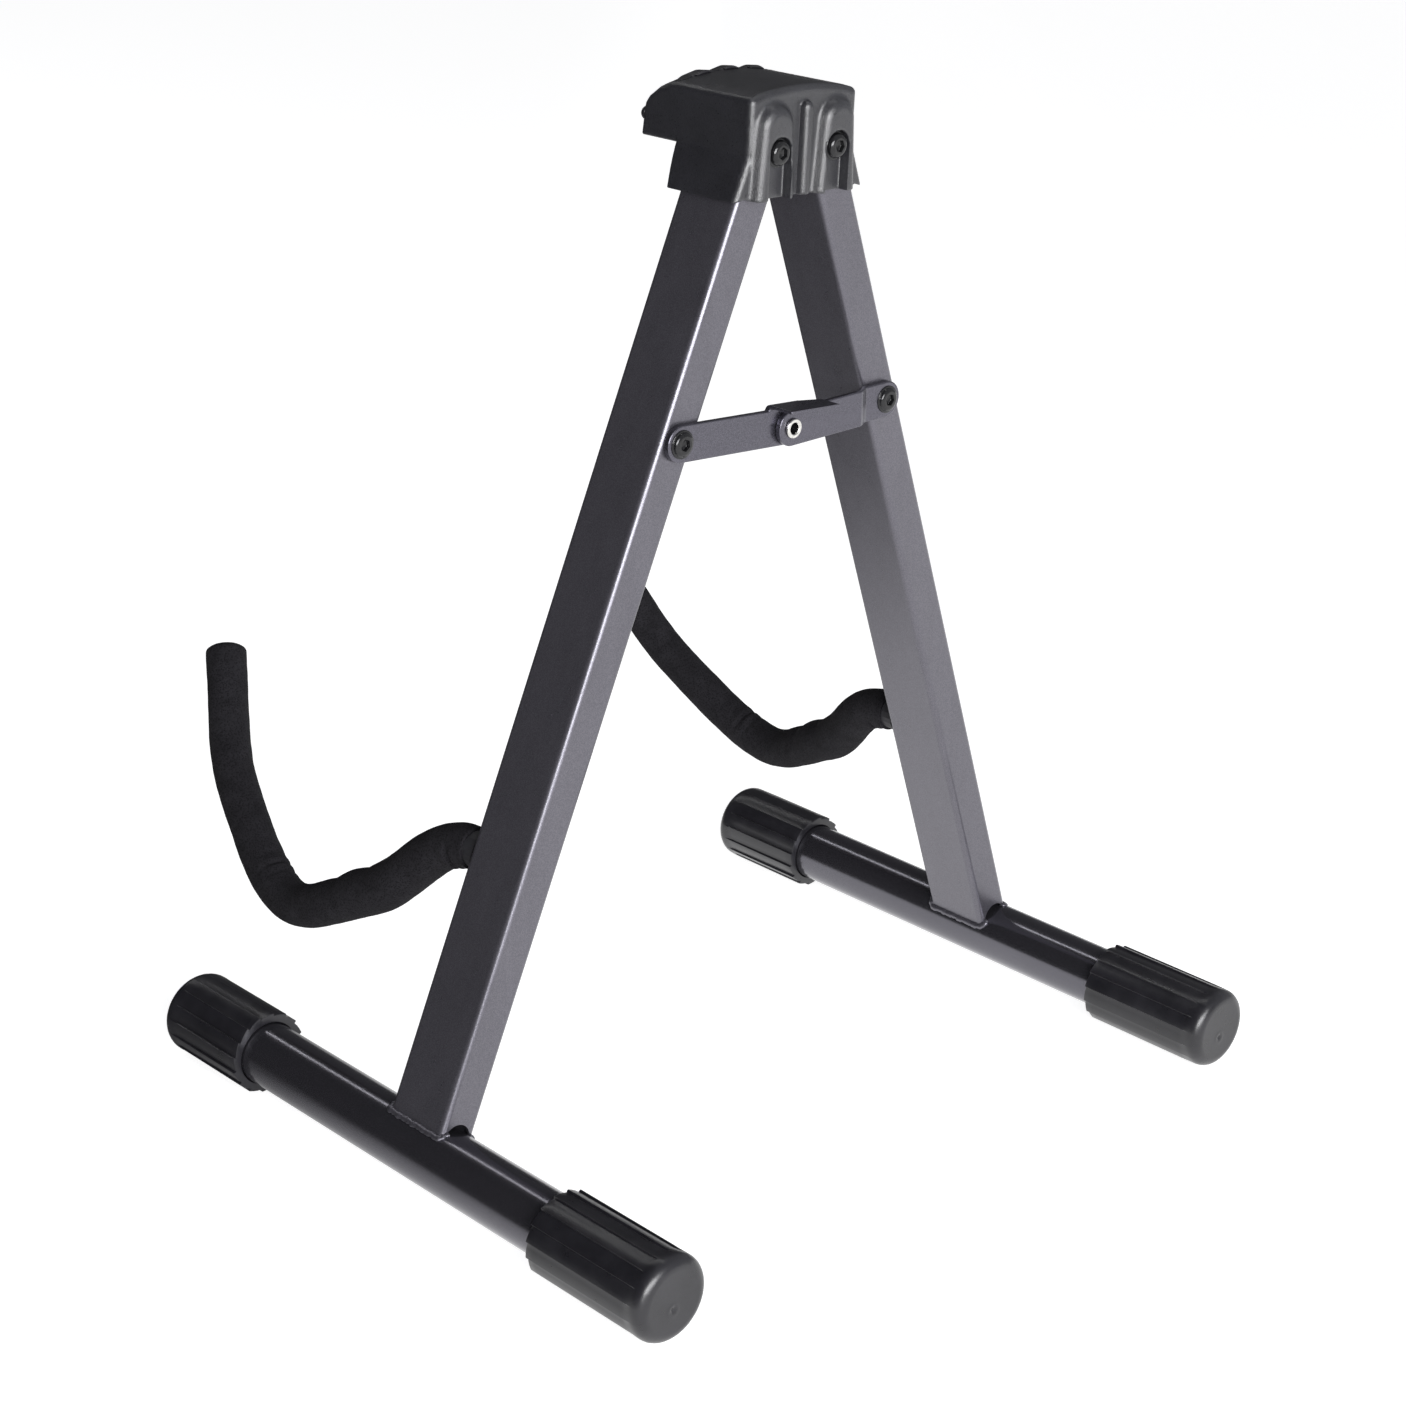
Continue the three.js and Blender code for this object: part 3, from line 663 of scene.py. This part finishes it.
def cap_mesh(mouth, end):
    out = 1 if end > mouth else -1
    length = abs(end - mouth)
    R, step, ribs = 17.0, 1.05, 16
    angles = []
    for k in range(ribs):
        for u in (0.0, 0.05, 0.30, 0.60, 0.94, 0.955, 0.985):
            angles.append((k + u) / ribs)

    def depth(u):  # 0 on the crest, 1 at the foot of the step
        u = (u * ribs) % 1.0
        return float(np.interp(u, [0, 0.05, 0.94, 0.955, 0.985, 1.0], [0.0, 0.03, 1.0, 0.97, 0.20, 0.0]))

    def ring(t, r_of):
        pts = []
        for u in angles:
            a = 2 * math.pi * u * (1 if out > 0 else -1) + 0.17
            r = r_of(u)
            pts.append((r * math.cos(a), mouth + out * t, r * math.sin(a)))
        return pts

    rings = [ring(length - 3.4, lambda u: 6.0), ring(length - 3.4, lambda u: 12.95), ring(0.4, lambda u: 12.95), ring(0.0, lambda u: 13.3)]
    rings.append(ring(0.0, lambda u: R - 0.45 - step * depth(u)))
    rings.append(ring(0.12, lambda u: R - 0.14 - step * depth(u)))
    rings.append(ring(0.45, lambda u: R - step * depth(u)))
    er = 4.7
    fade0, fade1 = length - 13.0, length - er

    def taper(t, u):
        wide = R - step * depth(u) * (1 - 0.30 * t / fade0) if t < fade0 else None
        if wide is None:
            q = min((t - fade0) / (fade1 - fade0), 1)
            # each rib runs out at its own place, the ones at the top nearly at the rim
            late = 0.5 + 0.5 * math.sin(2 * math.pi * (math.floor(u * ribs) / ribs) + (1.2 if out > 0 else 0.4))
            q = min(max((q - 0.45 * late) / (1 - 0.45 * late), 0), 1)
            wide = R - step * depth(u) * 0.70 * (1 - q * q * (3 - 2 * q)) - 0.12 * q
        return wide

    for t in (4, 10, 16, 22, 28, 32):
        if t < fade0 - 1:
            rings.append(ring(t, lambda u, t=t: taper(t, u)))
    for k in range(13):
        t = fade0 + (fade1 - fade0) * k / 12
        rings.append(ring(t, lambda u, t=t: taper(t, u)))
    for k in range(1, 11):
        a = math.radians(90 * k / 10)
        rings.append(ring(length - er + er * math.sin(a), lambda u, a=a: R - 0.12 - er + er * math.cos(a)))
    for r in (11.8, 10.8, 9.6, 8.4, 7.2, 6.2, 5.4, 4.8, 4.2, 3.6, 3.0, 2.4, 1.8, 1.2, 0.6):
        rings.append(ring(length, lambda u, r=r: r))
    rings.append([(0, mouth + out * length, 0)])
    rings.insert(0, [(0, mouth + out * (length - 3.4), 0)])
    v, f = loft(rings, cap0=False, cap1=False)
    v = np.array(v, float)
    flat = np.abs(v[:, 1] - end) < 1e-6
    rr = np.hypot(v[:, 0], v[:, 2])
    d = np.hypot(v[:, 0] - 0.4, v[:, 2] + 3.0)
    v[:, 1] -= out * np.where(flat, 0.16 * np.clip(1 - (rr / 12.4) ** 2, 0, 1) + 0.55 * np.exp(-((d / 0.9) ** 2)) - 0.10 * np.exp(-(((d - 2.1) / 0.8) ** 2)), 0)
    return v, outward(v, f)


for side, word in ((1, "right"), (-1, "left")):
    for lab, (m0, m1) in (("rear", (77.7, 137.3)), ("front", (-97.9, -147.3))):
        v, f = cap_mesh(m0, m1)
        make(f"cap_{word}_{lab}", v, f, rubber, f"{word}_leg", at(side * FOOT_X, 0, FOOT_Z), (f"foot_cap_{word}_{lab}",), 34)


# ------------------------------------------------------------------ arms
def catmull(points, step):
    P = [np.array(p, float) for p in points]
    P = [2 * P[0] - P[1]] + P + [2 * P[-1] - P[-2]]
    out = []
    for i in range(1, len(P) - 2):
        n = 24
        for k in range(n):
            t = k / n
            out.append(0.5 * (2 * P[i] + (P[i + 1] - P[i - 1]) * t + (2 * P[i - 1] - 5 * P[i] + 4 * P[i + 1] - P[i + 2]) * t * t + (3 * P[i] - P[i - 1] - 3 * P[i + 1] + P[i + 2]) * t ** 3))
    out.append(P[-2])
    out = np.array(out)
    seg = np.linalg.norm(np.diff(out, axis=0), axis=1)
    s = np.concatenate([[0], np.cumsum(seg)])
    n = int(s[-1] / step)
    q = np.linspace(0, s[-1], n + 1)
    return np.stack([np.interp(q, s, out[:, k]) for k in range(out.shape[1])], 1), q


def smooth_noise(s, a, seed):
    """A gentle lump field round and along the sleeve."""
    return (np.sin(s * 0.21 + 2 * a + seed) * 0.35 + np.sin(s * 0.37 - a * 3 + seed * 1.7) * 0.3 + np.sin(s * 0.93 + a * 2 + seed * 2.3) * 0.2 + np.sin(s * 0.11 + seed) * 0.3)


def foam_mesh(seed):
    path, q = catmull([(-21.3, 112.6)] + ARM[1:], 0.6)
    tan = np.gradient(path, axis=0)
    tan /= np.linalg.norm(tan, axis=1)[:, None]
    nor = np.stack([-tan[:, 1], tan[:, 0]], 1)  # in the plane, and up once turned below
    nor = np.where(nor[:, 1:2] < 0, -nor, nor)
    n = 56
    ang = np.linspace(0, 2 * math.pi, n, endpoint=False)  # 0 is up, in the plane of the arm
    y_of = path[:, 0]
    creases = [  # y along the arm, angle, depth, half-width along, angular power
        (-30.0, math.pi, 2.3, 1.3, 0.8), (-35.0, math.pi * 0.92, 0.5, 1.5, 2.0),
        (-127.0, 0.0, 1.15, 0.8, 1.8), (-122.0, 0.1, 0.45, 0.9, 2.0), (-132.5, -0.2, 0.25, 1.3, 2.0),
        (-170.0, 0.0, 0.30, 1.4, 2.0), (-66.0, 0.2, 0.35, 2.2, 1.5), (-82.0, 0.0, 0.45, 2.6, 1.5)]
    rings = []
    for i, (p, t, m) in enumerate(zip(path, tan, nor)):
        s = q[i]
        r = np.interp(-y_of[i], [21, 33, 44, 54, 78, 90, 104, 128, 150, 200], [8.35, 8.55, 9.25, 9.35, 9.3, 8.95, 8.75, 8.75, 8.5, 8.42]) + 0.12 * smooth_noise(s, ang, seed)
        for yc, ac, depth, wid, pw in creases:
            d = (y_of[i] - yc)
            w = np.clip(np.cos(ang - ac), 0, 1) ** pw
            r = r - depth * math.exp(-((d / wid) ** 2)) * w + 0.32 * depth * (math.exp(-(((abs(d) - 2.6 * wid) / (1.5 * wid)) ** 2))) * w
        # lumps on the upper outline between the leg and the lowest point
        r = r + 0.55 * math.exp(-(((y_of[i] + 74) / 5.0) ** 2)) * np.clip(np.cos(ang), 0, 1) + 0.60 * math.exp(-(((y_of[i] + 62) / 6.0) ** 2)) * np.clip(-np.cos(ang), 0, 1)
        lat = np.sin(ang) * r
        ver = np.cos(ang) * r
        rings.append([(lat[k], p[0] + m[0] * ver[k], p[1] + m[1] * ver[k]) for k in range(n)])
    # leg end: a cut face round the rod
    first = np.array(rings[0])
    c0 = np.array([0, path[0][0], path[0][1]])
    edge = [tuple(c0 + (pt - c0) * 0.955 + np.array([0, 0.42, 0])) for pt in first]
    lip = [tuple(c0 + (pt - c0) * 0.985 + np.array([0, 0.30, 0])) for pt in first]
    bore = [tuple(c0 + (pt - c0) * 0.56 + np.array([0, 0.42, 0])) for pt in first]
    deep = [tuple(c0 + (pt - c0) * 0.55 + np.array([0, -3.0, 0])) for pt in first]
    rings = [deep, bore, edge, lip] + rings
    # tip: a shallow dome with a fairly sharp rim
    tip, tt = np.array([0, path[-1][0], path[-1][1]]), np.array([0, tan[-1][0], tan[-1][1]])
    last = np.array(rings[-1])
    for frac, up in ((0.985, 0.45), (0.955, 0.95), (0.90, 1.45), (0.80, 2.05), (0.66, 2.65), (0.48, 3.1), (0.28, 3.35)):
        rings.append([tuple(tip + (pt - tip) * frac + tt * up) for pt in last])
    rings.append([tuple(tip + tt * 3.42)])
    rings.insert(0, [tuple(c0 + np.array([0, -3.0, 0]))])
    v, f = loft(rings, cap0=False, cap1=False)
    return v, outward(v, f)


for side, word in ((1, "right"), (-1, "left")):
    v, f = foam_mesh(0.7 if side > 0 else 4.1)
    o = make(f"foam_sleeve_{word}", v, f, foam, f"{word}_leg", leg_matrix(side), (f"arm_foam_{word}",), 60)


# ------------------------------------------------------------------ brace links and rivet
def stadium(x, z, x0, x1, r):
    t = np.clip(x, x0, x1)
    return np.hypot(x - t, z) - r


def right_link(x, y, z):
    p2 = stadium(x, z, 0, LINK_LEN, LINK_W / 2)
    d = inter(p2, np.abs(y - LINK_Y - LINK_T / 2) - LINK_T / 2, 0.45)
    # the tab: an upstand in the plane of the link, folded out over the other link
    section = [(15.55, 2.0), (15.55, 7.2), (15.75, 8.0), (16.3, 8.8), (17.2, 9.3), (18.2, 9.38), (29.2, 9.38), (29.2, 8.45), (18.8, 8.45), (18.1, 8.1), (17.65, 7.4), (17.65, 2.0)]
    left = -5.4 - 9.8 * np.clip((y - 17.8) / 2.5, 0, 1)
    tab = inter(seg_poly(y, z, section) - 0.15, np.maximum(left - x, x - 10.9), 0.35)
    d = union(d, tab, 0.5)
    d = np.maximum(d, 3.2 - np.hypot(x, z))
    d = np.maximum(d, 3.2 - np.hypot(x - LINK_LEN, z))
    return d


def left_link(x, y, z):
    q = np.clip((x - 37.5) / 6.5, 0, 1)
    s = q * q * (3 - 2 * q)
    yy = y - (OUTER_Y + (LINK_Y - OUTER_Y) * s)
    p2 = stadium(x, z, 0, LINK_LEN, LINK_W / 2)
    d = inter(p2, (np.abs(yy - LINK_T / 2) - LINK_T / 2) * 0.92, 0.45)
    d = np.maximum(d, 3.2 - np.hypot(x, z))
    d = np.maximum(d, 3.2 - np.hypot(x - LINK_LEN, z))
    return d


HL = 0.36
v, f = surface(right_link, (-16.6, LINK_Y - 1.2, -8.5), (LINK_LEN + 8.5, 30.6, 11.2), HL)
make("link_right", v, f, paint_link, "right_link", at(0, 0, RIVET_Z) @ Matrix.Rotation(-LINK_SLOPE, 4, "Y"), ("brace_link_right",), 50)
v, f = surface(left_link, (-8.5, LINK_Y - 1.2, -8.5), (LINK_LEN + 8.5, OUTER_Y + LINK_T + 1.2, 8.5), HL)
make("link_left", v, f, paint_link, "left_link", at(0, 0, RIVET_Z) @ Matrix.Rotation(math.pi + LINK_SLOPE, 4, "Y"), ("brace_link_left",), 50)

fy = OUTER_Y + LINK_T
prof = [(2.3, LINK_Y - 1.1)] + [(3.7, LINK_Y - 1.1), (3.8, LINK_Y - 0.9), (3.7, LINK_Y - 0.3), (2.9, LINK_Y - 0.25), (2.9, fy + 0.2)]
prof += [(3.75, fy + 0.22)] + arc(3.35, fy + 0.62, 0.52, -30, 90, 8) + arc(2.75, fy + 0.55, 0.59, 90, 180, 6) + [(2.15, fy - 0.5), (2.2, LINK_Y)]
v, f = lathe_y(prof, 64, closed=True)
o = make("rivet", v, f, nickel, "right_link", at(0, 0, RIVET_Z), ("centre_rivet",), 50)
# second slot: the faces inside the bore of the nickel rivet take the dark black oxide finish, as painted shade in the
# hollow
o.data.materials.append(black_oxide)
for poly in o.data.polygons:
    pts = [o.data.vertices[i].co for i in poly.vertices]
    if all(math.hypot(c.x * 1000, c.z * 1000 - RIVET_Z) < 2.45 for c in pts) and min(c.y * 1000 - YS for c in pts) < fy - 0.4:
        poly.material_index = 1


# ------------------------------------------------------------------ screws
def screw_mesh(y, tip, height, r=5.45, across=4.0):
    n = 96
    hexr = [across / 2 / math.cos(math.radians(((360.0 * i / n) % 60) - 30)) for i in range(n)]
    ang = [2 * math.pi * i / n for i in range(n)]

    def circle(rad, yy):
        return [(rad * math.cos(a), yy, rad * math.sin(a)) for a in ang]

    def hexa(k, yy):
        return [(h * k * math.cos(a), yy, h * k * math.sin(a)) for h, a in zip(hexr, ang)]

    top = y + height
    rings = [[(0, top - 1.9, 0)], hexa(0.90, top - 1.8), hexa(0.985, top - 1.65), hexa(0.995, top - 0.25), hexa(1.06, top - 0.05), circle(2.75, top)]
    # dome from the flat round the socket to the rim
    for k in range(1, 9):
        a = k / 8
        rad = 2.75 + (r - 0.75 - 2.75) * math.sin(a * math.pi / 2)
        yy = y + 0.52 + (height - 0.52) * math.cos(a * math.pi / 2) ** 0.9
        rings.append(circle(rad, yy))
    rings += [circle(r - 0.62, y + 0.40), circle(r - 0.18, y + 0.40), circle(r, y + 0.25), circle(r, y + 0.08), circle(r - 0.08, y), circle(3.0, y), circle(3.0, tip + 0.4), circle(2.6, tip), [(0, tip, 0)]]
    v, f = loft(rings, cap0=False, cap1=False)
    return v, outward(v, f)


yb = LINK_Y + LINK_T + 0.2
v, f = screw_mesh(yb - 0.15, 6.0, 1.75)
make("brace_bolt_right", v, f, black_oxide, "right_leg", leg_matrix(1) @ Matrix.Translation((0, 0, BRACE_S)), ("brace_screw_right",), 40)
v, f = screw_mesh(yb - 0.15, REAR + 0.3, 1.75)
make("brace_bolt_left", v, f, black_oxide, "left_link", leg_matrix(-1) @ Matrix.Translation((0, 0, BRACE_S)) @ Matrix.Rotation(0.5, 4, "Y"), ("brace_screw_left",), 40)
for side, word in ((1, "right"), (-1, "left")):
    v, f = screw_mesh(19.15, -28.6, 2.8)
    make(f"pivot_bolt_{word}", v, f, black_oxide, "head", at(side * PIVOT_X, 0, PIVOT_Z) @ Matrix.Rotation(0.3 * side + 0.2, 4, "Y"), (f"pivot_screw_{word}",), 40)

# ------------------------------------------------------------------ CAD pieces that keep their shape
finish_of = {
    "arm_rod": black_oxide, "arm_collar": collar_rubber, "brace_insert": black_oxide,
    "brace_screw_left_thread": black_oxide, "pivot_washer": black_oxide, "pivot_nut": black_oxide,
}
for name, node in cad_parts.items():
    for key, material in finish_of.items():
        if name.startswith(key):
            node.data.materials.clear()
            node.data.materials.append(material)
            if key in ("arm_collar", "pivot_washer", "pivot_nut"):
                bv = node.modifiers.new("edge", "BEVEL")
                bv.width = 0.00035
                bv.segments = 2
                bv.limit_method = "ANGLE"
                bv.angle_limit = math.radians(35)

# ------------------------------------------------------------------ floor, lights, camera
floor_me = bpy.data.meshes.new("floor")
floor_me.from_pydata([(-30, -30, 0), (30, -30, 0), (30, 30, 0), (-30, 30, 0)], [], [(0, 1, 2, 3)])
floor = bpy.data.objects.new("floor", floor_me)
floor.location.z = -0.0002
bpy.context.scene.collection.objects.link(floor)
fm, nt, b, co = new_material("floor")
b.inputs["Base Color"].default_value = (0.55, 0.55, 0.55, 1)
b.inputs["Roughness"].default_value = 0.9
b.inputs["Specular IOR Level"].default_value = 0.05
b.inputs["Emission Color"].default_value = (1, 1, 1, 1)
b.inputs["Emission Strength"].default_value = 0.84
floor_me.materials.append(fm)

# a pale backdrop behind the floor's edge, so that low views don't end in the dark side of the sky
wall_me = bpy.data.meshes.new("backdrop")
wall_me.from_pydata([(x, y, z) for z in (-0.5, 40) for x, y in ((-29, -29), (29, -29), (29, 29), (-29, 29))], [], [(0, 4, 5, 1), (1, 5, 6, 2), (2, 6, 7, 3), (3, 7, 4, 0)])
wall = bpy.data.objects.new("backdrop", wall_me)
bpy.context.scene.collection.objects.link(wall)
bm_wall, nt, b, co = new_material("backdrop")
b.inputs["Base Color"].default_value = (0, 0, 0, 1)
b.inputs["Specular IOR Level"].default_value = 0.0
b.inputs["Emission Color"].default_value = (1, 1, 1, 1)
b.inputs["Emission Strength"].default_value = 0.95
wall_me.materials.append(bm_wall)
for seen in ("diffuse", "glossy", "shadow", "transmission", "volume_scatter"):
    setattr(wall, "visible_" + seen, False)

world = bpy.data.worlds.new("studio")
bpy.context.scene.world = world
world.use_nodes = True
wt = world.node_tree
sky = wt.nodes["Background"]
direction = wt.nodes.new("ShaderNodeTexCoord").outputs["Generated"]
axis = wt.nodes.new("ShaderNodeVectorMath")
axis.operation = "DOT_PRODUCT"
axis.inputs[1].default_value = (-0.50, 0.86, 0.0)
wt.links.new(direction, axis.inputs[0])
wt.links.new(ramp(wt, maths(wt, "MULTIPLY_ADD", axis.outputs["Value"], 0.5), [(0.15, (0.05, 0.05, 0.055)), (0.45, (0.17, 0.17, 0.18)), (0.65, (0.62, 0.63, 0.66)), (1.0, (0.80, 0.81, 0.84))]), sky.inputs["Color"])
sky.inputs["Strength"].default_value = 0.55


def softbox(name, where, target, size, power, colour=(1, 1, 1)):
    d = bpy.data.lights.new(name, "AREA")
    d.shape = "RECTANGLE"
    d.size, d.size_y = size
    d.energy = power
    d.color = colour
    o = bpy.data.objects.new(name, d)
    o.location = where
    o.rotation_euler = (Vector(target) - Vector(where)).to_track_quat("-Z", "Y").to_euler()
    o.visible_camera = False
    bpy.context.scene.collection.objects.link(o)
    return o


softbox("key", (0.70, 1.90, 0.80), (0, 0.03, 0.2), (1.2, 0.9), 44, (0.98, 0.98, 1.0))
softbox("corner_light", (1.28, 1.55, 0.55), (0, 0.03, 0.25), (0.46, 0.6), 12)
softbox("high_strip", (-0.20, -1.35, 1.33), (0, -1.35, 0), (3.2, 0.08), 4.2)

# what glossy surfaces see of the floor: bright round the stand and behind it, falling off in front and to the right
gloss_me = bpy.data.meshes.new("gloss_floor")
gloss_me.from_pydata([(-6, -6, 0), (6, -6, 0), (6, 6, 0), (-6, 6, 0)], [], [(0, 1, 2, 3)])
gloss = bpy.data.objects.new("gloss_floor", gloss_me)
gloss.location.z = -0.0001
bpy.context.scene.collection.objects.link(gloss)
gm, nt, b, co = new_material("gloss_floor")
axis = nt.nodes.new("ShaderNodeVectorMath")
axis.operation = "DOT_PRODUCT"
axis.inputs[1].default_value = (-0.7071, 0.7071, 0.0)
nt.links.new(co, axis.inputs[0])
nt.links.new(ramp(nt, maths(nt, "MULTIPLY_ADD", axis.outputs["Value"], 1.0), [(0.20, grey(0.02)), (0.30, grey(0.13)), (0.37, grey(0.50)), (0.46, grey(0.92)), (1.0, grey(0.95))]), b.inputs["Emission Color"])
b.inputs["Emission Strength"].default_value = 1.25
b.inputs["Base Color"].default_value = (0, 0, 0, 1)
b.inputs["Specular IOR Level"].default_value = 0.0
gloss_me.materials.append(gm)
for seen in ("camera", "diffuse", "shadow", "transmission", "volume_scatter"):
    setattr(gloss, "visible_" + seen, False)
floor.visible_glossy = False

az, el, roll = math.radians(134.75), math.radians(20.99), math.radians(2.77)
back = Vector((math.sin(az) * math.cos(el), -math.cos(az) * math.cos(el), math.sin(el)))
right = (-back).cross(Vector((0, 0, 1))).normalized()
up = right.cross(-back)
r2 = math.cos(roll) * right + math.sin(roll) * up
u2 = -math.sin(roll) * right + math.cos(roll) * up
cam_data = bpy.data.cameras.new("camera")
cam_data.sensor_width = 36.0
cam_data.lens = 72.95
cam_data.clip_end = 100
cam = bpy.data.objects.new("camera", cam_data)
m = Matrix((r2, u2, back)).transposed().to_4x4()
m.translation = Vector((758.346, 731.635 + YS, 563.105)) * 0.001
cam.matrix_world = m
bpy.context.scene.collection.objects.link(cam)
bpy.context.scene.camera = cam
bpy.context.scene.view_settings.view_transform = "Standard"
bpy.context.scene.view_settings.look = "None"

bpy.context.view_layer.update()
